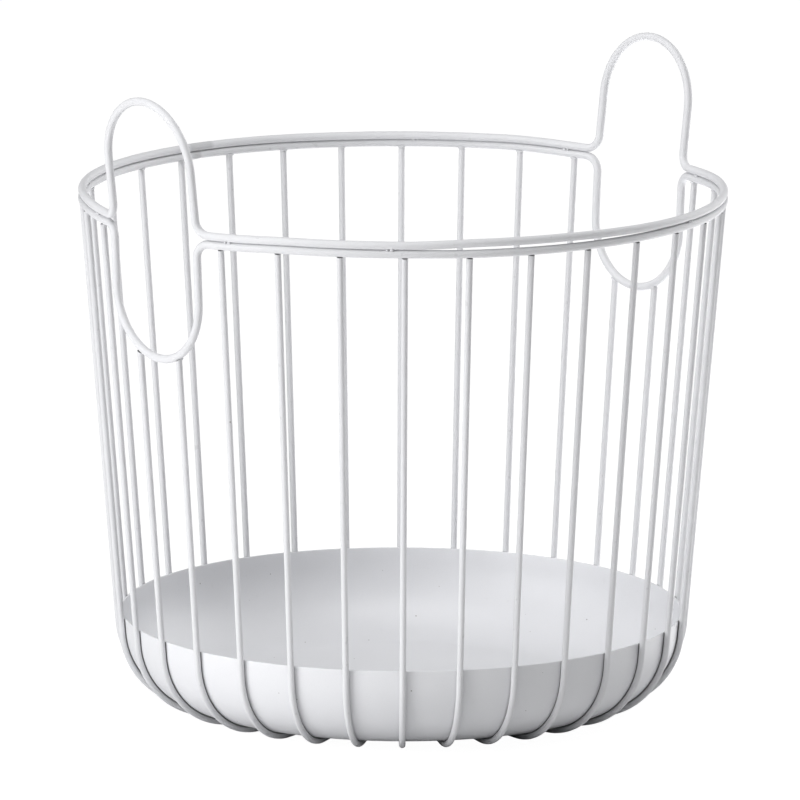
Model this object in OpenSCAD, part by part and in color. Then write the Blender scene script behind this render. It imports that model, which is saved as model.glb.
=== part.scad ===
// Round wire basket with a sheet-metal tray for a floor and two open handles.
// Two rim wires lie one on the other. At each handle the upper one is bent up
// into an arch and the lower one down into a dip, so the two frame one opening.
// Spokes hang from the lower rim wire, follow the tray's side and turn in under it.
// Millimetres, z up, the floor at z = 0, the handles on the x axis.

/* [Rim] */
// Outside diameter of the rim
rim_d = 400; // [360:1:440]
// Height above the floor at which the two rim wires meet
rim_height = 320; // [260:1:380]
// Diameter of the two rim wires
rim_wire_d = 5; // [4:0.5:6]
// Gap between the upper and the lower rim wire
rim_gap = 0.1; // [0.1:0.1:1]

/* [Handles] */
// Width of a handle between the centres of its legs
handle_w = 80; // [60:1:90]
// Length of an arch's legs above the upper rim wire, up to the half circle
arch_leg = 35; // [20:1:60]
// Length of a dip's legs below the lower rim wire, down to the half circle
dip_leg = 38.5; // [20:0.5:60]
// Outward lean of the arches, in degrees
arch_lean = 7; // [0:0.5:12]
// Centre-line radius of the bends where the wires leave the rim
foot_r = 9; // [7:0.5:12]

/* [Spokes] */
// Number of spokes round the basket
spoke_count = 32; // [24:4:36]
// Diameter of the spoke wires
spoke_d = 4; // [3:0.5:5]
// Straight length of a spoke's end under the tray
spoke_run = 30; // [10:1:80]

/* [Tray] */
// Outside diameter of the tray at its upper edge
tray_d = 349; // [320:1:370]
// Height of the tray's upper edge above the floor
tray_height = 58; // [54:1:100]
// Outside radius of the tray's rounded lower edge
tray_edge_r = 49; // [20:1:50]
// Thickness of the tray's sheet metal
tray_t = 1.2; // [0.8:0.1:2]

/* [Hidden] */
// Gap left at each welded seat
seat_gap = 0.1;
// Straight bit of rim wire between the ring and the bend at a handle's foot
foot_straight = 1;
// What a wire's diameter loses where it is bent, and how far its straight
// stretches run on into the bends, so that each wire is one solid
bend_thinning = 0.02;
bend_lap = 0.2;
// Overrun of a cut past the piece that it cuts
overrun = 5;
// Stretch of the rim, in degrees, that shapes the top of one spoke
cope_span = 6;
wire_colour = "#e6e8ec";
sheet_colour = "#dcdee2";
$fa = 3;
$fs = 0.4;

// Rim: centre-line radius, and the centre-line heights of the two wires
rim_r = (rim_d - rim_wire_d) / 2;
upper_z = rim_height + (rim_wire_d + rim_gap) / 2;
lower_z = rim_height - (rim_wire_d + rim_gap) / 2;

// Side: the lean at which a spoke runs from the lower rim wire down to the tray's edge
tray_r = tray_d / 2;
seat_offset = seat_gap + spoke_d / 2;
side_dx = rim_r - tray_r;
side_dz = lower_z - tray_height;
side_lean = atan2(side_dx, side_dz) - asin(seat_offset / norm([side_dx, side_dz]));
side_out = [cos(side_lean), -sin(side_lean)];
side_up = [sin(side_lean), cos(side_lean)];
function spoke_x(z) = rim_r - (lower_z - z) * tan(side_lean);

// Rounded edge: one centre for the tray's edge and for the bend of the spokes round it
tray_bottom = spoke_d + seat_gap;
edge_z = tray_bottom + tray_edge_r;
edge_x = tray_r + ((edge_z - tray_height) * sin(side_lean) - tray_edge_r) / cos(side_lean);
spoke_bend_r = tray_edge_r + seat_offset;

// Handle's foot: where the ring stops, and the corner that the bend rounds off
leg_y = handle_w / 2;
ring_end = asin((leg_y + foot_r + foot_straight) / rim_r);
ring_dir = [-sin(ring_end), cos(ring_end), 0];
foot_run = (rim_r * sin(ring_end) - leg_y) / cos(ring_end);
foot_x = rim_r * cos(ring_end) + foot_run * sin(ring_end);

// Spokes stand half a step to each side of the handles
spoke_step = 360 / spoke_count;
function spoke_turn(i) = (i - 1 / 2) * spoke_step;
function under_dip(turn) = abs(rim_r * sin(turn)) < leg_y;

// Dip: how far down its leg line a spoke meets the half circle, and the lean
// that puts the half circle on the spokes
function meet_drop(y) = dip_leg + sqrt(leg_y ^ 2 - y ^ 2);
first_y = spoke_x(lower_z - meet_drop(rim_r * sin(spoke_turn(1)))) * sin(spoke_turn(1));
first_drop = meet_drop(first_y);
first_x = spoke_x(lower_z - first_drop) * cos(spoke_turn(1));
dip_lean = asin((foot_x - first_x) / first_drop);
function dip_z(turn) = lower_z - cos(dip_lean)
    * meet_drop(spoke_x(lower_z - first_drop) * sin(turn));

// Directions of an arch's legs and of a dip's legs, from the rim outwards
arch_dir = [sin(arch_lean), 0, cos(arch_lean)];
dip_dir = -[sin(dip_lean), 0, cos(dip_lean)];

function spoke_name(i) = str("spoke_", i < 10 ? "0" : "", i);

// Straight wire from p to q, with a lap at each end
module rod(p, q, d) {
    v = q - p;
    length = norm(v);
    translate(p - v * bend_lap / length)
        rotate([0, acos(v.z / length), atan2(v.y, v.x)])
            cylinder(h = length + 2 * bend_lap, d = d);
}

// Bent wire: starts at centre + r * from_dir and sets off along to_dir
module bent(centre, from_dir, to_dir, r, sweep, d) {
    up = cross(from_dir, to_dir);
    multmatrix([
        [from_dir.x, to_dir.x, up.x, centre.x],
        [from_dir.y, to_dir.y, up.y, centre.y],
        [from_dir.z, to_dir.z, up.z, centre.z]
    ])
        rotate_extrude(angle = sweep)
            translate([r, 0])
                circle(d = d - bend_thinning);
}

// One leg of a handle: straight off the ring, round the foot's bend, along the leg
module leg(z, leg_dir, leg_length) {
    corner = [foot_x, leg_y, z];
    opening = acos(ring_dir * leg_dir);
    cut_back = foot_r / tan(opening / 2);
    middle = (ring_dir + leg_dir) / norm(ring_dir + leg_dir);
    centre = corner + middle * foot_r / sin(opening / 2);
    bend_start = corner + ring_dir * cut_back;
    rod(corner + ring_dir * foot_run, bend_start, rim_wire_d);
    bent(centre, (bend_start - centre) / foot_r, -ring_dir, foot_r, 180 - opening, rim_wire_d);
    rod(corner + leg_dir * cut_back, corner + leg_dir * leg_length, rim_wire_d);
}

// Half circle that joins the two legs of a handle
module half_circle(z, leg_dir, leg_length, d) {
    bent([foot_x, 0, z] + leg_dir * leg_length, [0, 1, 0], leg_dir, leg_y, 180, d);
}

// Closed rim wire: two ring stretches, and at each handle two legs and a half circle
module rim_wire(z, leg_dir, leg_length) {
    for (turn = [0, 180])
        rotate([0, 0, turn]) {
            translate([0, 0, z])
                rotate([0, 0, ring_end])
                    rotate_extrude(angle = 180 - 2 * ring_end)
                        translate([rim_r, 0])
                            circle(d = rim_wire_d - bend_thinning);
            leg(z, leg_dir, leg_length);
            mirror([0, 1, 0])
                leg(z, leg_dir, leg_length);
            half_circle(z, leg_dir, leg_length, rim_wire_d);
        }
}

module upper_rim_wire() {
    color(wire_colour)
        rim_wire(upper_z, arch_dir, arch_leg);
}

module lower_rim_wire() {
    color(wire_colour)
        rim_wire(lower_z, dip_dir, dip_leg);
}

// The wire that a spoke butts against, with the seat's gap round it
module cope(turn) {
    cope_d = rim_wire_d + 2 * seat_gap;
    if (under_dip(turn))
        rotate([0, 0, cos(turn) > 0 ? 0 : 180])
            half_circle(lower_z, dip_dir, dip_leg, cope_d);
    else
        rotate([0, 0, turn - cope_span / 2])
            rotate_extrude(angle = cope_span)
                translate([rim_r, lower_z])
                    circle(d = cope_d);
}

// Spoke: coped to the rim, straight down the side, round the tray's edge and in under it
module spoke(turn) {
    top_z = under_dip(turn) ? dip_z(turn) : lower_z;
    top = [spoke_x(top_z), 0, top_z];
    out_dir = [side_out.x, 0, side_out.y];
    down_dir = [-side_up.x, 0, -side_up.y];
    centre = [edge_x, 0, edge_z];
    foot = [edge_x, 0, spoke_d / 2];
    color(wire_colour)
        difference() {
            rotate([0, 0, turn]) {
                rod(centre + out_dir * spoke_bend_r, top, spoke_d);
                bent(centre, out_dir, down_dir, spoke_bend_r, 90 - side_lean, spoke_d);
                rod(foot, foot - [spoke_run - bend_lap, 0, 0], spoke_d);
            }
            cope(turn);
        }
}

// Half section of the solid bowl whose skin lies inset from the tray's outside
module bowl_half(inset, top_cut) {
    r = tray_edge_r - inset;
    centre = [edge_x, edge_z];
    wall_end = [tray_r, tray_height] - side_out * inset - side_up * top_cut;
    inner_end = wall_end - side_out * tray_t;
    polygon([
        [0, edge_z - r],
        [edge_x, edge_z - r],
        centre,
        centre + side_out * r,
        wall_end,
        inner_end,
        [0, inner_end.y]
    ]);
    intersection() {
        translate(centre)
            circle(r = r);
        translate([edge_x, edge_z - tray_edge_r])
            square(tray_edge_r);
    }
}

// Pressed tray: flat floor, large rounded edge, short leaning side, rounded lip
module tray() {
    lip = [tray_r, tray_height] - (side_out + side_up) * tray_t / 2;
    color(sheet_colour)
        rotate_extrude()
            union() {
                difference() {
                    bowl_half(0, tray_t / 2);
                    bowl_half(tray_t, -overrun);
                }
                translate(lip)
                    circle(d = tray_t);
            }
}

upper_rim_wire();
lower_rim_wire();
tray();
for (i = [1 : spoke_count])
    spoke(spoke_turn(i));
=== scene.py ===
# Round wire basket with a sheet-metal tray for a floor and two open handles, all powder-coated
# in one pale cool grey. It is put together here from the tray up: tray, spokes, rim wires, welds.
from math import acos, asin, atan2, cos, hypot, pi, radians, sin, sqrt, tan

import bpy
from mathutils import Matrix, Vector, noise


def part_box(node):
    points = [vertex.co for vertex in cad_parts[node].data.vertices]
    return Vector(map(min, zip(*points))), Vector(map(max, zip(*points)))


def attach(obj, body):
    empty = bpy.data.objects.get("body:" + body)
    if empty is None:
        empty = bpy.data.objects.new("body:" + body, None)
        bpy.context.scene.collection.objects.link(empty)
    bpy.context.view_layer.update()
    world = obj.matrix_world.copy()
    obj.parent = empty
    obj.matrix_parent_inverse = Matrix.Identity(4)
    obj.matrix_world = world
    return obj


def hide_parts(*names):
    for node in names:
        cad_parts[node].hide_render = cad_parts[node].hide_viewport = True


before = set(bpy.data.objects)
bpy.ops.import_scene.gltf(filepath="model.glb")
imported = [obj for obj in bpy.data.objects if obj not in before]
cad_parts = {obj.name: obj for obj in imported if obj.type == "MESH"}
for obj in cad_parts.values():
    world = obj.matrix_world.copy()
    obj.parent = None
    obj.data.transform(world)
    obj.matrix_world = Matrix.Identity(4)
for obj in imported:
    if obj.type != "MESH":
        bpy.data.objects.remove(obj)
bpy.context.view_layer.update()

# Tray. A shallow round dish pressed from 1.2 mm sheet steel: a flat floor, a large rounded
# edge, a short side that leans with the spokes, and an upper edge rounded over.
MM = 0.001
SAME_PLACE = 0.01 * MM
SHEET = 1.2 * MM
EDGE_R = 49 * MM
ROUND_STEPS = 192
EDGE_STEPS = 22
LIP_STEPS = 10
# What the tray shares with the wires round it: 32 spokes, whose ends run in under its floor
SPOKES = 32
SPOKE_RUN = 30 * MM
SPOKE_R = 2 * MM
RIM_WIRE_R = 2.5 * MM
SEAT_GAP = 0.1 * MM
# Painted shadow: a dark line on the tray under each spoke. Half the line's width and its soft
# edge, how dark the shadow is painted, and how deep in the sheet the mark is full and gone
SEAT_SHADOW_LINE = 1.3 * MM
SEAT_SHADOW_BLUR = 0.1
SEAT_SHADOW = 0.65
SEAT_SHADOW_SKIN = (0.1 * MM, 0.3 * MM)
tray_low, tray_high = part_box("tray")
lower_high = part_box("lower_rim_wire")[1]
TRAY_R = tray_high.x
RIM_R = lower_high.y - RIM_WIRE_R
LOWER_Z = lower_high.z - RIM_WIRE_R
SEAT_OFFSET = SPOKE_R + SEAT_GAP
side_dx = RIM_R - TRAY_R
side_dz = LOWER_Z - tray_high.z
LEAN = atan2(side_dx, side_dz) - asin(SEAT_OFFSET / hypot(side_dx, side_dz))
SIDE_OUT = Vector((cos(LEAN), 0, -sin(LEAN)))
SIDE_UP = Vector((sin(LEAN), 0, cos(LEAN)))
edge_z = tray_low.z + EDGE_R
edge_x = TRAY_R + ((edge_z - tray_high.z) * sin(LEAN) - EDGE_R) / cos(LEAN)
EDGE_CENTRE = Vector((edge_x, 0, edge_z))
Y_AXIS = Vector((0, 1, 0))
Z_AXIS = Vector((0, 0, 1))


def colour(r, g, b):
    return (r, g, b, 1)


def cleared_tree(owner):
    """The node tree of a material or world, emptied."""
    owner.use_nodes = True
    owner.node_tree.nodes.clear()
    return owner.node_tree


def node_at(tree, kind, **values):
    """Adds a node and sets its properties, and its inputs by name with a leading in_."""
    node = tree.nodes.new(kind)
    for name, value in values.items():
        if name.startswith("in_"):
            node.inputs[name[3:].replace("_", " ")].default_value = value
        else:
            setattr(node, name, value)
    return node


def feed(tree, socket, value):
    """Gives a socket a number or a colour, or links another node's output to it."""
    if isinstance(value, (int, float, tuple)):
        socket.default_value = value
    else:
        tree.links.new(value, socket)


# Scales of the coat's patterns, per metre
GRAIN_SCALE = 1500
PEEL_SCALE = 420
DRIFT_SCALE = 16
LUMP_SCALE = 900
SMUDGE_SCALE = 230
SPECK_SCALE = 160
# How much each one shades, roughens or lifts the coat
DRIFT_SHADE = 0.05
GRAIN_SHADE = 0.05
WELD_SHADE = 0.2
SMUDGE_SHADE = 0.1
SPECK_SHADE = 0.75
DRIFT_DULL = 0.08
WELD_DULL = 0.15
GRAIN_LIFT = 0.25
PEEL_LIFT = 0.75
WELD_LIFT = 6.0
SPECK_LIFT = 1.5
# Where a speck ends, and between which values of its noise a smudge starts to show
SPECK_EDGE = (0.09, 0.055)
SMUDGE_EDGE = (0.72, 0.78)
DUST = colour(0.16, 0.13, 0.11)
# The colour of the painted shade in contact lines and slits
PAINTED_SHADE_COLOUR = colour(0.02, 0.018, 0.017)


def powder_coat_group():
    """Baked powder coat: orange peel, grain, shade drift, smudges, dust specks, dull welds, and
    painted shade, a dark steel colour in contact lines and slits where light does not reach."""
    group = bpy.data.node_groups.new("powder_coat", "ShaderNodeTree")
    face = group.interface
    for name, kind, standard in (
        ("Coat", "NodeSocketColor", colour(0.8, 0.8, 0.8)),
        ("Weld", "NodeSocketFloat", 0.0),
        ("PaintedShade", "NodeSocketFloat", 0.0),
        ("Specks", "NodeSocketFloat", 0.0),
        ("Smudges", "NodeSocketFloat", 0.0),
        ("Dullness", "NodeSocketFloat", 0.5),
    ):
        face.new_socket(name=name, in_out="INPUT", socket_type=kind).default_value = standard
    face.new_socket(name="Color", in_out="OUTPUT", socket_type="NodeSocketColor")
    face.new_socket(name="Roughness", in_out="OUTPUT", socket_type="NodeSocketFloat")
    face.new_socket(name="Height", in_out="OUTPUT", socket_type="NodeSocketFloat")
    given = node_at(group, "NodeGroupInput")
    result = node_at(group, "NodeGroupOutput")
    place = node_at(group, "ShaderNodeTexCoord")

    def link(a, b):
        group.links.new(a, b)

    def noise_at(scale, detail):
        texture = node_at(group, "ShaderNodeTexNoise", in_Scale=scale, in_Detail=detail)
        link(place.outputs["Object"], texture.inputs["Vector"])
        return texture.outputs[0]

    def math_at(operation, a, b):
        node = node_at(group, "ShaderNodeMath", operation=operation)
        feed(group, node.inputs[0], a)
        feed(group, node.inputs[1], b)
        return node.outputs[0]

    def mix_at(factor, a, b, blend="MIX"):
        node = node_at(group, "ShaderNodeMix", data_type="RGBA", blend_type=blend)
        for socket, value in zip((node.inputs[0], node.inputs[6], node.inputs[7]), (factor, a, b)):
            feed(group, socket, value)
        return node.outputs[2]

    grain = noise_at(GRAIN_SCALE, 2)
    peel = noise_at(PEEL_SCALE, 1)
    drift = noise_at(DRIFT_SCALE, 2)
    lumps = noise_at(LUMP_SCALE, 3)

    # Specks: in a few cells of a Voronoi pattern, a dot up to a millimetre across
    cells = node_at(group, "ShaderNodeTexVoronoi", in_Scale=SPECK_SCALE)
    link(place.outputs["Object"], cells.inputs["Vector"])
    dot = node_at(group, "ShaderNodeMapRange", interpolation_type="SMOOTHSTEP",
                  in_From_Min=SPECK_EDGE[0], in_From_Max=SPECK_EDGE[1])
    link(cells.outputs["Distance"], dot.inputs["Value"])
    tell = node_at(group, "ShaderNodeSeparateColor")
    link(cells.outputs["Color"], tell.inputs["Color"])
    chosen = math_at("LESS_THAN", tell.outputs["Red"], given.outputs["Specks"])
    speck = math_at("MULTIPLY", dot.outputs["Result"], chosen)

    # Smudges: where a coarse noise peaks, the coat is a little greyer
    smudge = node_at(group, "ShaderNodeMapRange", interpolation_type="SMOOTHSTEP",
                     in_From_Min=SMUDGE_EDGE[0], in_From_Max=SMUDGE_EDGE[1],
                     in_To_Max=SMUDGE_SHADE)
    link(noise_at(SMUDGE_SCALE, 1), smudge.inputs["Value"])
    smudged = math_at("MULTIPLY", smudge.outputs["Result"], given.outputs["Smudges"])

    shade = math_at("ADD", math_at("MULTIPLY", drift, DRIFT_SHADE), 1 - DRIFT_SHADE / 2)
    fine = math_at("SUBTRACT", grain, 0.5)
    shade = math_at("ADD", shade, math_at("MULTIPLY", fine, GRAIN_SHADE))
    shade = math_at("SUBTRACT", shade, math_at("MULTIPLY", given.outputs["Weld"], WELD_SHADE))
    shade = math_at("SUBTRACT", shade, smudged)
    grey = node_at(group, "ShaderNodeCombineColor")
    for channel in ("Red", "Green", "Blue"):
        link(shade, grey.inputs[channel])
    coat = mix_at(1.0, given.outputs["Coat"], grey.outputs["Color"], "MULTIPLY")
    coat = mix_at(math_at("MULTIPLY", speck, SPECK_SHADE), coat, DUST)
    # Painted shade: darkens the coat to that dark colour where a piece is marked
    coat = mix_at(given.outputs["PaintedShade"], coat, PAINTED_SHADE_COLOUR)
    link(coat, result.inputs["Color"])

    dull = math_at("ADD", given.outputs["Dullness"], math_at("MULTIPLY", drift, DRIFT_DULL))
    dull = math_at("ADD", dull, math_at("MULTIPLY", given.outputs["Weld"], WELD_DULL))
    link(dull, result.inputs["Roughness"])

    height = math_at("MULTIPLY", grain, GRAIN_LIFT)
    height = math_at("ADD", height, math_at("MULTIPLY", peel, PEEL_LIFT))
    rough_weld = math_at("MULTIPLY", lumps, given.outputs["Weld"])
    height = math_at("ADD", height, math_at("MULTIPLY", rough_weld, WELD_LIFT))
    height = math_at("ADD", height, math_at("MULTIPLY", speck, SPECK_LIFT))
    link(height, result.inputs["Height"])
    return group


powder_coat = powder_coat_group()


def coated(name, coat, specks, smudges, dullness, peel_depth):
    """A steel part's material: the powder coat, with its own colour, dust and depth of peel."""
    material = bpy.data.materials.new(name)
    tree = cleared_tree(material)
    coat_node = node_at(tree, "ShaderNodeGroup", node_tree=powder_coat, in_Coat=coat,
                        in_Specks=specks, in_Smudges=smudges, in_Dullness=dullness)
    weld = node_at(tree, "ShaderNodeAttribute", attribute_name="weld")
    painted_shade = node_at(tree, "ShaderNodeAttribute", attribute_name="painted_shade")
    bump = node_at(tree, "ShaderNodeBump", in_Strength=1.0, in_Distance=peel_depth)
    surface = node_at(tree, "ShaderNodeBsdfPrincipled", in_IOR=1.45)
    output = node_at(tree, "ShaderNodeOutputMaterial")
    tree.links.new(weld.outputs["Fac"], coat_node.inputs["Weld"])
    tree.links.new(painted_shade.outputs["Fac"], coat_node.inputs["PaintedShade"])
    tree.links.new(coat_node.outputs["Color"], surface.inputs["Base Color"])
    tree.links.new(coat_node.outputs["Roughness"], surface.inputs["Roughness"])
    tree.links.new(coat_node.outputs["Height"], bump.inputs["Height"])
    tree.links.new(bump.outputs["Normal"], surface.inputs["Normal"])
    tree.links.new(surface.outputs["BSDF"], output.inputs["Surface"])
    return material


def edit_everything():
    bpy.ops.object.mode_set(mode="EDIT")
    bpy.ops.mesh.select_mode(type="VERT")
    bpy.ops.mesh.select_all(action="SELECT")


def start_section(name, point):
    """A plane merged to one vertex, from which a section is drawn."""
    bpy.ops.object.select_all(action="DESELECT")
    bpy.ops.mesh.primitive_plane_add(size=MM, location=point)
    bpy.ops.object.transform_apply(location=True)
    bpy.context.object.name = name
    edit_everything()
    bpy.ops.mesh.merge(type="CENTER")
    return Vector(point)


def draw_line(tip, end):
    bpy.ops.mesh.extrude_region_move(TRANSFORM_OT_translate={"value": end - tip})
    return Vector(end)


def draw_arc(tip, centre, angle, steps):
    """Upright arc that starts off from x towards z. The spin turns left-handed round its axis."""
    bpy.ops.mesh.spin(steps=steps, angle=angle, center=centre, axis=Y_AXIS)
    return centre + Matrix.Rotation(-angle, 3, "Y") @ (tip - centre)


def smooth_all(piece, angle=radians(40)):
    bpy.ops.object.select_all(action="DESELECT")
    piece.select_set(True)
    bpy.context.view_layer.objects.active = piece
    bpy.ops.object.shade_smooth_by_angle(angle=angle)


def close_mesh():
    """Merges the seams and poles and points the faces outwards, in edit mode."""
    bpy.ops.mesh.select_all(action="SELECT")
    bpy.ops.mesh.remove_doubles(threshold=SAME_PLACE)
    bpy.ops.mesh.normals_make_consistent(inside=False)
    bpy.ops.object.mode_set(mode="OBJECT")


def fade(value, full, none):
    """1 where value is below full, 0 above none, smooth between."""
    share = min(1, max(0, (none - value) / (none - full)))
    return share * share * (3 - 2 * share)


def mark_points(piece, name, strength_at):
    """Writes how strongly each point is marked, from 0 to 1, for the material to read."""
    marks = piece.data.attributes.new(name, "FLOAT", "POINT")
    for vertex in piece.data.vertices:
        marks.data[vertex.index].value = strength_at(vertex.co)


def off_tray(point):
    """How far outside the tray's skin a point lies, negative inside."""
    spot = Vector((hypot(point.x, point.y), 0, point.z)) - EDGE_CENTRE
    if spot.dot(SIDE_UP) > 0:
        return spot.dot(SIDE_OUT) - EDGE_R
    return (-spot.z if spot.x < 0 else spot.length) - EDGE_R


lip = Vector((TRAY_R, 0, tray_high.z)) - (SIDE_OUT + SIDE_UP) * SHEET / 2
WALL = (lip - EDGE_CENTRE).dot(SIDE_UP)
inner_r = EDGE_R - SHEET
tip = start_section("pressed_tray", (0, 0, tray_low.z))
tip = draw_line(tip, Vector((edge_x - SPOKE_RUN, 0, tray_low.z)))
tip = draw_line(tip, Vector((edge_x, 0, tray_low.z)))
tip = draw_arc(tip, EDGE_CENTRE, pi / 2 - LEAN, EDGE_STEPS)
tip = draw_line(tip, lip + SIDE_OUT * SHEET / 2)
tip = draw_arc(tip, lip, pi, LIP_STEPS)
tip = draw_line(tip, EDGE_CENTRE + SIDE_OUT * inner_r)
tip = draw_arc(tip, EDGE_CENTRE, LEAN - pi / 2, EDGE_STEPS)
draw_line(tip, Vector((0, 0, edge_z - inner_r)))
bpy.ops.mesh.select_all(action="SELECT")
bpy.ops.mesh.spin(steps=ROUND_STEPS, angle=2 * pi, center=(0, 0, 0), axis=Z_AXIS)
close_mesh()
pressed_tray = bpy.context.object
smooth_all(pressed_tray)


def seat_shadow(point):
    """How dark the painted shadow is on the tray's outside where spokes pass over it, 0 elsewhere.
    """
    past_ends = hypot(point.x, point.y) > edge_x - SPOKE_RUN / 2
    return SEAT_SHADOW * past_ends * fade(-off_tray(point), *SEAT_SHADOW_SKIN)


# Marks the tray's painted shadow under the spokes
mark_points(pressed_tray, "painted_shade", seat_shadow)
sheet_coat = coated("sheet_coat", colour(0.725, 0.73, 0.752), specks=0.12, smudges=0.2,
                    dullness=0.42, peel_depth=0.01 * MM)


def keep_seat_shadows(material):
    """Keeps a material's painted shadow only in a line under each spoke, the seat line's half
    width to each side.
    """
    tree = material.node_tree
    painted_shade = next(node for node in tree.nodes if getattr(node, "attribute_name", "") == "painted_shade")
    coat_node = next(node for node in tree.nodes if node.type == "GROUP")
    place = node_at(tree, "ShaderNodeTexCoord")
    axes = node_at(tree, "ShaderNodeSeparateXYZ")
    tree.links.new(place.outputs["Object"], axes.inputs[0])
    value = axes.outputs["Y"]
    for operation, other in (
        ("ARCTAN2", axes.outputs["X"]), ("MULTIPLY", SPOKES / (2 * pi)), ("FRACT", 0),
        ("SUBTRACT", 0.5), ("ABSOLUTE", 0), ("MULTIPLY", 2 * pi / SPOKES * TRAY_R),
    ):
        step = node_at(tree, "ShaderNodeMath", operation=operation)
        feed(tree, step.inputs[0], value)
        feed(tree, step.inputs[1], other)
        value = step.outputs[0]
    line = node_at(tree, "ShaderNodeMapRange", interpolation_type="SMOOTHSTEP",
                   in_From_Min=SEAT_SHADOW_LINE * (1 + SEAT_SHADOW_BLUR),
                   in_From_Max=SEAT_SHADOW_LINE * (1 - SEAT_SHADOW_BLUR))
    both = node_at(tree, "ShaderNodeMath", operation="MULTIPLY")
    tree.links.new(value, line.inputs["Value"])
    tree.links.new(line.outputs["Result"], both.inputs[0])
    tree.links.new(painted_shade.outputs["Fac"], both.inputs[1])
    tree.links.new(both.outputs[0], coat_node.inputs["PaintedShade"])


keep_seat_shadows(sheet_coat)
pressed_tray.data.materials.append(sheet_coat)
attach(pressed_tray, "root")
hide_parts("tray")

# Rim wires. Two 5 mm steel wires, each rolled to a ring, bent to a loop at each handle, and
# closed by a butt weld near the middle of the far side. They lie one on the other, sprung
# apart a little where no weld holds them, and have settled a little at the handles' feet.
RIM_SIDES = 32
RING_STEPS = 150
FOOT_STEPS = 12
LOOP_STEPS = 64
LEG_Y = 40 * MM
FOOT_R = 9 * MM
FOOT_STRAIGHT = 1 * MM
ARCH_LEG = 35 * MM
ARCH_LEAN = radians(7)
DIP_LEG = 38.5 * MM
BUTT_WELD_SWELL = 0.04
BUTT_WELD_EDGE = radians(0.6)
BUTT_WELD_LUMPS = 500
# How far the rim has settled, and how far from a handle's middle and from the rim's height the
# settling is full and gone
FOOT_SAG = 1.6 * MM
SAG_TURNS = (radians(13), radians(32))
SAG_HEIGHTS = (12 * MM, 45 * MM)
# Where the two wires are sprung apart in front, over what turns they open and close, and how
# far each one moves
SPRUNG_FROM = radians(-129)
SPRUNG_TO = radians(-72)
SPRUNG_OPENS = radians(13)
SPRUNG_CLOSES = radians(32)
SPRUNG_UP = 0.95 * MM
SPRUNG_DOWN = 0.45 * MM
# Where the upper wire is pushed in behind, how far, and how far round that is full and gone
PUSHED_TURN = radians(50)
PUSHED_IN = 1.3 * MM
PUSHED_TURNS = (radians(10), radians(34))
upper_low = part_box("upper_rim_wire")[0]
UPPER_Z = upper_low.z + RIM_WIRE_R
RIM_MIDDLE_Z = (LOWER_Z + UPPER_Z) / 2
WIRES_APART = UPPER_Z - LOWER_Z
ring_end = asin((LEG_Y + FOOT_R + FOOT_STRAIGHT) / RIM_R)
foot_run = (RIM_R * sin(ring_end) - LEG_Y) / cos(ring_end)
foot_x = RIM_R * cos(ring_end) + foot_run * sin(ring_end)
first_turn = pi / SPOKES


def spoke_x(z):
    """How far out the middle line of a spoke's straight part is at a height."""
    return RIM_R - (LOWER_Z - z) * tan(LEAN)


def meet_drop(y):
    """How far down its leg line a dip's half circle is met at y."""
    return DIP_LEG + sqrt(LEG_Y ** 2 - y ** 2)


first_y = spoke_x(LOWER_Z - meet_drop(RIM_R * sin(first_turn))) * sin(first_turn)
first_drop = meet_drop(first_y)
first_x = spoke_x(LOWER_Z - first_drop) * cos(first_turn)
DIP_LEAN = asin((foot_x - first_x) / first_drop)
DIP_SPOKE_Z = LOWER_Z - cos(DIP_LEAN) * meet_drop(spoke_x(LOWER_Z - first_drop) * sin(first_turn))
DIP_SLOPE = asin(first_y / LEG_Y)
ARCH_DIR = Vector((sin(ARCH_LEAN), 0, cos(ARCH_LEAN)))
DIP_DIR = -Vector((sin(DIP_LEAN), 0, cos(DIP_LEAN)))


class Wire:
    """A wire drawn as it is bent: straight runs are extruded and bends are spun."""

    def __init__(self, name, start, heading, radius, sides):
        self.tip = Vector(start)
        self.heading = Vector(heading).normalized()
        turned = self.heading.to_track_quat("Z", "Y").to_euler()
        bpy.ops.object.select_all(action="DESELECT")
        bpy.ops.mesh.primitive_circle_add(vertices=sides, radius=radius, location=self.tip,
                                          rotation=turned)
        bpy.ops.object.transform_apply(location=True, rotation=True)
        self.piece = bpy.context.object
        self.piece.name = name
        edit_everything()

    def run(self, length, widen=1.0):
        step = self.heading * length
        bpy.ops.mesh.extrude_region_move(TRANSFORM_OT_translate={"value": step})
        self.tip = self.tip + step
        if widen != 1.0:
            bpy.ops.transform.resize(value=(widen,) * 3, center_override=self.tip)

    def bend(self, axis, angle, bend_r, steps):
        """Bends the wire round the axis, right-handed, where the spin turns left-handed."""
        axis = Vector(axis).normalized()
        centre = self.tip + axis.cross(self.heading) * bend_r
        bpy.ops.mesh.spin(steps=steps, angle=angle, center=centre, axis=-axis)
        turn = Matrix.Rotation(angle, 3, axis)
        self.tip = centre + turn @ (self.tip - centre)
        self.heading = turn @ self.heading

    def bend_to(self, heading, bend_r, steps):
        self.bend(self.heading.cross(heading), self.heading.angle(heading), bend_r, steps)

    def tilt_end(self, angle, axis):
        """Turns the open end right-handed, where the operator turns left-handed."""
        bpy.ops.transform.rotate(value=-angle, orient_axis=axis, center_override=self.tip)

    def open_end(self):
        """The points of the open end that is being drawn."""
        bpy.ops.object.mode_set(mode="OBJECT")
        points = [vertex.co.copy() for vertex in self.piece.data.vertices if vertex.select]
        bpy.ops.object.mode_set(mode="EDIT")
        return points

    def cap_ends(self):
        bpy.ops.mesh.edge_face_add()
        bpy.ops.mesh.select_all(action="DESELECT")
        bpy.ops.mesh.select_non_manifold()
        bpy.ops.mesh.edge_face_add()


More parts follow.
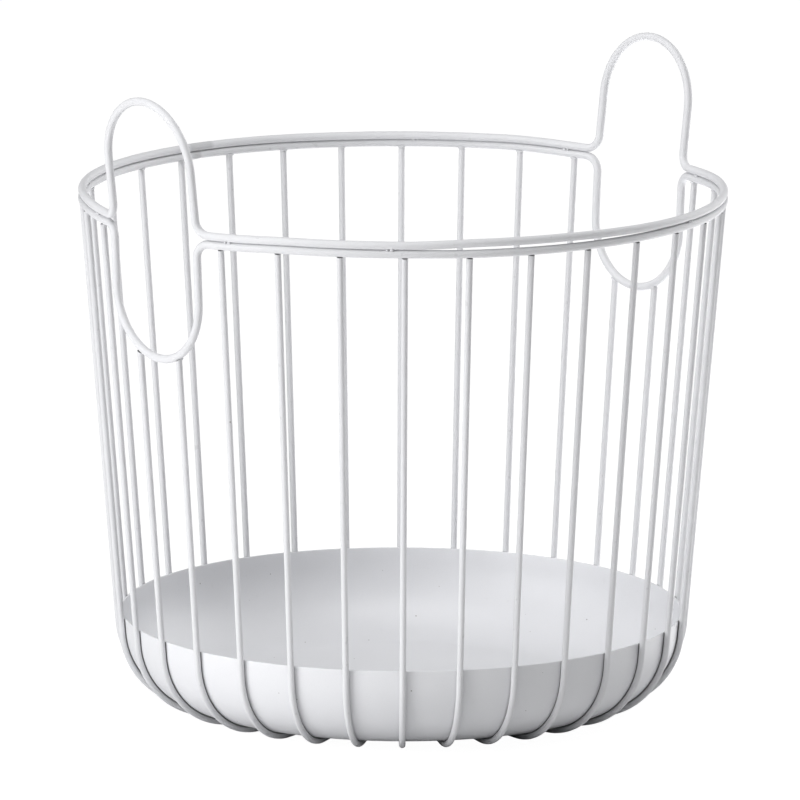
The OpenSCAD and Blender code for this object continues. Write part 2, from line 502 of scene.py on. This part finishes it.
def draw_rim_wire(name, z, leg_dir, leg_length):
    """Half of a rim wire, round one handle, and the same again for the other half."""
    wire = Wire(name, (0, -RIM_R, z), (1, 0, 0), RIM_WIRE_R, RIM_SIDES)
    wire.bend(Z_AXIS, pi / 2 - ring_end, RIM_R, RING_STEPS)
    off_ring = Vector((-sin(ring_end), cos(ring_end), 0))
    opening = acos(off_ring.dot(leg_dir))
    cut_back = FOOT_R / tan(opening / 2)
    wire.run(foot_run - cut_back)
    wire.bend_to(leg_dir, FOOT_R, FOOT_STEPS)
    wire.run(leg_length - cut_back)
    wire.bend(leg_dir.cross(Y_AXIS), pi, LEG_Y, LOOP_STEPS)
    wire.run(leg_length - cut_back)
    wire.bend_to(off_ring, FOOT_R, FOOT_STEPS)
    wire.run(foot_run - cut_back)
    wire.bend(Z_AXIS, pi / 2 - ring_end, RIM_R, RING_STEPS)
    bpy.ops.mesh.select_all(action="SELECT")
    bpy.ops.mesh.duplicate()
    bpy.ops.transform.resize(value=(-1, -1, 1), center_override=(0, 0, 0))
    close_mesh()
    return wire.piece


def turn_of(point):
    return atan2(point.y, point.x)


def sprung(turn):
    """How much the two rim wires stand apart at a turn, from 0 to 1."""
    opening = 1 - fade(turn, SPRUNG_FROM, SPRUNG_FROM + SPRUNG_OPENS)
    return opening * fade(turn, SPRUNG_TO - SPRUNG_CLOSES, SPRUNG_TO)


def foot_sag(turn, z):
    """How far the rim has settled, at a turn from -pi to pi: most at the handles' feet."""
    off_handle = min(abs(turn), pi - abs(turn))
    off_rim = abs(z - RIM_MIDDLE_Z)
    return FOOT_SAG * fade(off_handle, *SAG_TURNS) * fade(off_rim, *SAG_HEIGHTS)


def pushed_in(turn):
    """How far the upper rim wire is pushed in over the lower one: most at the middle behind."""
    return PUSHED_IN * fade(abs(turn - PUSHED_TURN), *PUSHED_TURNS)


wire_coat = coated("wire_coat", colour(0.69, 0.693, 0.712), specks=0.02, smudges=1.0,
                   dullness=0.55, peel_depth=0.005 * MM)
for node_name, z, leg_dir, leg_length, spring, weld_turn, weld_half in (
    ("lower_rim_wire", LOWER_Z, DIP_DIR, DIP_LEG, -SPRUNG_DOWN, radians(92.2), radians(0.6)),
    ("upper_rim_wire", UPPER_Z, ARCH_DIR, ARCH_LEG, SPRUNG_UP, radians(91.2), radians(2.4)),
):
    rim = draw_rim_wire("coated_" + node_name, z, leg_dir, leg_length)

    def butt_weld(point):
        return fade(abs(turn_of(point) - weld_turn), weld_half, weld_half + BUTT_WELD_EDGE)

    for vertex in rim.data.vertices:
        turn = turn_of(vertex.co)
        ring_middle = Vector((RIM_R * cos(turn), RIM_R * sin(turn), z))
        lump = 1 + noise.noise(vertex.co * BUTT_WELD_LUMPS)
        vertex.co += (vertex.co - ring_middle) * BUTT_WELD_SWELL * lump * butt_weld(vertex.co)
        vertex.co.z += spring * sprung(turn) - foot_sag(turn, vertex.co.z)
        if node_name == "upper_rim_wire":
            inwards = pushed_in(turn)
            vertex.co -= Vector((cos(turn), sin(turn), 0)) * inwards
            vertex.co.z -= WIRES_APART - sqrt(WIRES_APART ** 2 - inwards ** 2)
    mark_points(rim, "weld", butt_weld)
    rim.data.materials.append(wire_coat)
    smooth_all(rim)
    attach(rim, "root")
    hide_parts(node_name)

# Spokes. 32 lengths of 4 mm steel wire: each is cut square and welded by the middle of its end,
# with a little flash inside, under the lower rim wire or a handle's dip. It runs straight down
# the side, is bent round the tray's edge and ends in a cut end under it.
SPOKE_SIDES = 28
BEND_STEPS = 30
END_CHAMFER = 0.35 * MM
# The first ring past the tray's edge, and the top end's cut: its tilt and how dark its edge is
# painted, as painted shade of the slit under the wire
PAST_TRAY = 1 * MM
CUT_TILT = radians(5)
CUT_SHADE = 0.8
# The top end's rings: how far below the middle of the wire that it is welded to, and radius
TOP_END = ((2.85 * MM, SPOKE_R), (2.7 * MM, 1.97 * MM), (2.55 * MM, 1.82 * MM))
# Painted shadow along the tray: a dark strip on each spoke where it lies on the tray, for the
# contact line
SHADOW_STRIP_SIDES = 8
SHADOW_STRIP_HIGH = 0.7 * MM
SHADOW_STRIP_WIDE = 2.5 * MM
SHADOW_STRIP_GONE = 1.1 * MM
# The flash inside the top end: its place, its half size in millimetres, and how the weld there
# is marked and ragged
FLASH_IN = 1.55 * MM
FLASH_BELOW = 2.45 * MM
FLASH = Vector((0.85, 2.3, 0.8))
FLASH_REACH = (3.2 * MM, 5 * MM)
BEAD_STEPS = 3
RAGGED = 0.16 * MM
RAGGED_SCALE = 800
SPOKE_MARK = 0.25


def draw_shadow_strip():
    """A flat strip between a spoke and the tray, dark with painted shadow, drawn into the spoke's
    mesh with its ends open.
    """
    start = Vector((edge_x - SPOKE_RUN, 0, tray_low.z - SHADOW_STRIP_HIGH / 2))
    bpy.ops.mesh.primitive_circle_add(vertices=SHADOW_STRIP_SIDES, radius=SHADOW_STRIP_HIGH / 2,
                                      location=start, rotation=(0, pi / 2, 0))
    bpy.ops.transform.resize(value=(1, SHADOW_STRIP_WIDE / SHADOW_STRIP_HIGH, 1), center_override=start)
    tip = draw_line(start, Vector((edge_x, 0, start.z)))
    tip = draw_arc(tip, EDGE_CENTRE, pi / 2 - LEAN, BEND_STEPS)
    draw_line(tip, tip + SIDE_UP * WALL)


def draw_spoke(name, top_z, slope):
    """One spoke in the plane y = 0, up to a wire at top_z that climbs along y by slope."""
    top = Vector((spoke_x(top_z), 0, top_z))
    wire = Wire(name, (edge_x - SPOKE_RUN, 0, SPOKE_R), (1, 0, 0), SPOKE_R - END_CHAMFER,
                SPOKE_SIDES)
    wire.run(END_CHAMFER, widen=SPOKE_R / (SPOKE_R - END_CHAMFER))
    wire.run(SPOKE_RUN - END_CHAMFER)
    wire.bend((0, -1, 0), pi / 2 - LEAN, EDGE_R + SEAT_OFFSET, BEND_STEPS)
    wire.run(WALL)
    wire.run(PAST_TRAY)
    stretch = 1 / cos(slope)
    wire.run((top - wire.tip).length - TOP_END[0][0] * stretch)
    wire.tilt_end(slope, "X")
    wire.tilt_end(CUT_TILT, "Y")
    bpy.ops.transform.resize(value=(1, stretch, stretch), center_override=wire.tip)
    for (below, radius), (next_below, next_radius) in zip(TOP_END, TOP_END[1:]):
        wire.run((below - next_below) * stretch, widen=next_radius / radius)
    cut_edge = wire.open_end()
    wire.cap_ends()
    draw_shadow_strip()
    wire.cap_ends()
    flash_at = top - SIDE_UP * FLASH_BELOW * stretch - Vector((FLASH_IN, 0, 0))
    bpy.ops.mesh.primitive_ico_sphere_add(subdivisions=BEAD_STEPS, radius=MM, location=flash_at,
                                          rotation=(slope, 0, 0), scale=FLASH)
    close_mesh()
    mark_points(wire.piece, "weld", lambda point: fade((point - top).length, *FLASH_REACH))

    def painted_shade(point):
        if point.z > tray_high.z:
            # The top end's cut edge is painted dark, as painted shade of the slit under the wire
            return CUT_SHADE * any((point - spot).length < SAME_PLACE for spot in cut_edge)
        # The spoke's side against the tray is painted dark too, as painted shadow of the contact
        # line
        return SEAT_SHADOW * fade(off_tray(point), SHADOW_STRIP_HIGH, SHADOW_STRIP_GONE)

    mark_points(wire.piece, "painted_shade", painted_shade)
    wire.piece.data.materials.append(wire_coat)
    smooth_all(wire.piece)
    return wire.piece


prototypes = {
    "rim": draw_spoke("spoke_to_rim", LOWER_Z, 0),
    "dip_rising": draw_spoke("spoke_to_rising_dip", DIP_SPOKE_Z, DIP_SLOPE),
    "dip_falling": draw_spoke("spoke_to_falling_dip", DIP_SPOKE_Z, -DIP_SLOPE),
}


def kind_of(turn):
    if abs(RIM_R * sin(turn)) >= LEG_Y:
        return "rim"
    return "dip_rising" if tan(turn) > 0 else "dip_falling"


for number in range(1, SPOKES + 1):
    turn = (number - 0.5) * 2 * pi / SPOKES
    prototype = prototypes[kind_of(turn)]
    spoke = prototype.copy()
    spoke.data = prototype.data.copy()
    spoke.name = "wire_spoke_%02d" % number
    bpy.context.collection.objects.link(spoke)
    bpy.ops.object.select_all(action="DESELECT")
    spoke.select_set(True)
    bpy.context.view_layer.objects.active = spoke
    spoke.rotation_euler.z = turn
    bpy.ops.object.transform_apply(rotation=True)
    marks = spoke.data.attributes["weld"]
    top_z = LOWER_Z if prototype is prototypes["rim"] else DIP_SPOKE_Z
    signed_turn = turn if turn < pi else turn - 2 * pi
    lowered = SPRUNG_DOWN * sprung(signed_turn) + foot_sag(signed_turn, top_z)
    for vertex in spoke.data.vertices:
        mark = marks.data[vertex.index]
        vertex.co += vertex.normal * noise.noise(vertex.co * RAGGED_SCALE) * RAGGED * mark.value
        if vertex.co.z > LOWER_Z / 2:
            vertex.co.z -= lowered
        mark.value *= SPOKE_MARK
    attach(spoke, "root")
    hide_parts("spoke_%02d" % number)
for prototype in prototypes.values():
    bpy.data.objects.remove(prototype)

# Welds. Small beads of weld metal, coated over with the rest: spot welds in the grooves
# between the two rim wires, and a tack on each side of every spoke's end under the tray.
SPOT_TURNS = [radians(turn) for turn in (-161.5, -132, -69, -18.5, 18.5, 48, 132, 161.5)]
SPOT_OUT = 1.6 * MM
SPOT_APART = 2.7 * MM
LONG_SPOT = Vector((0.8, 1.2, 0.8))
SHORT_SPOT = Vector((0.8, 0.8, 0.75))
TACK_IN = 24 * MM
TACK_ASIDE = 1.6 * MM
TACK = Vector((2.4, 0.75, 0.6))
BEAD_LUMPS = 0.09 * MM
BEAD_LUMP_SCALE = 1100
BEAD_MARK = 0.2


def start_beads(name):
    bpy.ops.object.select_all(action="DESELECT")
    bpy.ops.mesh.primitive_plane_add(size=MM)
    bpy.context.object.name = name
    edit_everything()
    bpy.ops.mesh.delete(type="VERT")


def add_bead(turn, out, aside, z, half_size):
    """A bead at a turn, with its half size in millimetres: outwards, along the rim, upwards."""
    place = Matrix.Rotation(turn, 3, "Z") @ Vector((out, aside, z))
    bpy.ops.mesh.primitive_ico_sphere_add(subdivisions=BEAD_STEPS, radius=MM, location=place,
                                          rotation=(0, 0, turn), scale=half_size)


def finish_beads():
    bpy.ops.object.mode_set(mode="OBJECT")
    beads = bpy.context.object
    for vertex in beads.data.vertices:
        vertex.co += vertex.normal * noise.noise(vertex.co * BEAD_LUMP_SCALE) * BEAD_LUMPS
    mark_points(beads, "weld", lambda point: BEAD_MARK)
    beads.data.materials.append(wire_coat)
    smooth_all(beads, radians(180))
    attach(beads, "root")


start_beads("rim_spot_welds")
for turn in SPOT_TURNS:
    for side in (-1, 1):
        out = RIM_R + side * SPOT_OUT
        z = RIM_MIDDLE_Z - foot_sag(turn, RIM_MIDDLE_Z)
        add_bead(turn, out, SPOT_APART / 2, z, LONG_SPOT)
        add_bead(turn, out, -SPOT_APART / 2, z, SHORT_SPOT)
finish_beads()

start_beads("tray_tack_welds")
for number in range(SPOKES):
    for side in (-1, 1):
        add_bead((number + 0.5) * 2 * pi / SPOKES, edge_x - TACK_IN, side * TACK_ASIDE,
                 tray_low.z - TACK.z * MM, TACK)
finish_beads()

# Studio: a plain white floor that runs up to the horizon, a large soft light low on the
# camera's left, one overhead and one behind on the right, and two glowing boards on the floor.
CAMERA_TURN = radians(-39.7)
CAMERA_BACK = 5.1771
CAMERA_UP = 1.2322
CAMERA_DOWNWARD = radians(11.3874)
CAMERA_PAN = radians(0.0159)
CAMERA_ROLL = radians(0.2355)
LENS = 384.1
SENSOR = 36
FLOOR_SIZE = 30
FLOOR_DROP = 0.05 * MM
# The paper lights the basket as a pale floor does, but the camera sees it almost shadowless
WHITE = colour(1, 1, 1)
PAPER = colour(0.8, 0.8, 0.8)
PAPER_SEEN = colour(0.1, 0.1, 0.1)
PAPER_GLOW = 0.98
LIGHTS_AIM = Vector((0, 0, 0.2))
LIGHTS_AWAY = 3
BOARD_SIZE = 1.2
BOARD_AWAY = 0.8
BOARD_UP = 2 * MM


def from_object(azimuth, elevation):
    """Direction from the basket; azimuth 0 is towards the camera and positive to its right."""
    turn = CAMERA_TURN + azimuth
    return Vector((sin(turn) * cos(elevation), -cos(turn) * cos(elevation), sin(elevation)))


camera_data = bpy.data.cameras.new("camera")
camera = bpy.data.objects.new("camera", camera_data)
bpy.context.collection.objects.link(camera)
turn_z = Matrix.Rotation(CAMERA_TURN, 4, "Z")
camera.location = turn_z @ Vector((0, -CAMERA_BACK, CAMERA_UP))
pan = Matrix.Rotation(CAMERA_PAN, 4, "Z")
tilt = Matrix.Rotation(pi / 2 - CAMERA_DOWNWARD, 4, "X")
roll = Matrix.Rotation(CAMERA_ROLL, 4, "Z")
camera.rotation_euler = (turn_z @ (pan @ tilt) @ roll).to_euler()
camera_data.lens = LENS
camera_data.sensor_width = SENSOR
camera_data.clip_end = 100
bpy.context.scene.camera = camera

bpy.ops.object.select_all(action="DESELECT")
bpy.ops.mesh.primitive_plane_add(size=FLOOR_SIZE, location=(0, 0, -FLOOR_DROP))
studio_floor = bpy.context.object
studio_floor.name = "studio_floor"
bpy.ops.object.transform_apply(location=True)
paper = bpy.data.materials.new("white_paper")
tree = cleared_tree(paper)
diffuse = node_at(tree, "ShaderNodeBsdfDiffuse", in_Color=PAPER)
faint = node_at(tree, "ShaderNodeBsdfDiffuse", in_Color=PAPER_SEEN)
glow = node_at(tree, "ShaderNodeEmission", in_Color=WHITE, in_Strength=PAPER_GLOW)
seen = node_at(tree, "ShaderNodeAddShader")
path = node_at(tree, "ShaderNodeLightPath")
mix = node_at(tree, "ShaderNodeMixShader")
output = node_at(tree, "ShaderNodeOutputMaterial")
tree.links.new(faint.outputs[0], seen.inputs[0])
tree.links.new(glow.outputs[0], seen.inputs[1])
tree.links.new(path.outputs["Is Camera Ray"], mix.inputs[0])
tree.links.new(diffuse.outputs[0], mix.inputs[1])
tree.links.new(seen.outputs[0], mix.inputs[2])
tree.links.new(mix.outputs[0], output.inputs["Surface"])
paper.cycles.emission_sampling = "NONE"
studio_floor.data.materials.append(paper)

world = bpy.data.worlds.new("studio_world")
bpy.context.scene.world = world
tree = cleared_tree(world)
behind = node_at(tree, "ShaderNodeBackground", in_Color=WHITE)
path = node_at(tree, "ShaderNodeLightPath")
output = node_at(tree, "ShaderNodeOutputWorld")
tree.links.new(path.outputs["Is Camera Ray"], behind.inputs["Strength"])
tree.links.new(behind.outputs[0], output.inputs["Surface"])


def soft_light(name, power, width, height):
    data = bpy.data.lights.new(name, "AREA")
    data.shape = "RECTANGLE"
    data.size = width
    data.size_y = height
    data.energy = power
    light = bpy.data.objects.new(name, data)
    bpy.context.collection.objects.link(light)
    return light


for name, power, azimuth, elevation, width, height in (
    ("key_light", 68, radians(-60), radians(12), 1.8, 1.8),
    ("top_light", 68, 0, radians(74), 2, 2),
    ("rear_light", 46, radians(128), radians(22), 1.8, 2.2),
):
    light = soft_light(name, power, width, height)
    direction = from_object(azimuth, elevation)
    light.location = LIGHTS_AIM + direction * LIGHTS_AWAY
    light.rotation_euler = direction.to_track_quat("Z", "Y").to_euler()
for name, power, azimuth in (
    ("front_board", 2.2, radians(-30)),
    ("rear_board", 8.5, radians(125)),
):
    board = soft_light(name, power, BOARD_SIZE, BOARD_SIZE)
    board.location = from_object(azimuth, 0) * BOARD_AWAY + Z_AXIS * BOARD_UP
    board.rotation_euler = (pi, 0, CAMERA_TURN + azimuth)
    board.visible_camera = False

bpy.context.scene.view_settings.view_transform = "Standard"
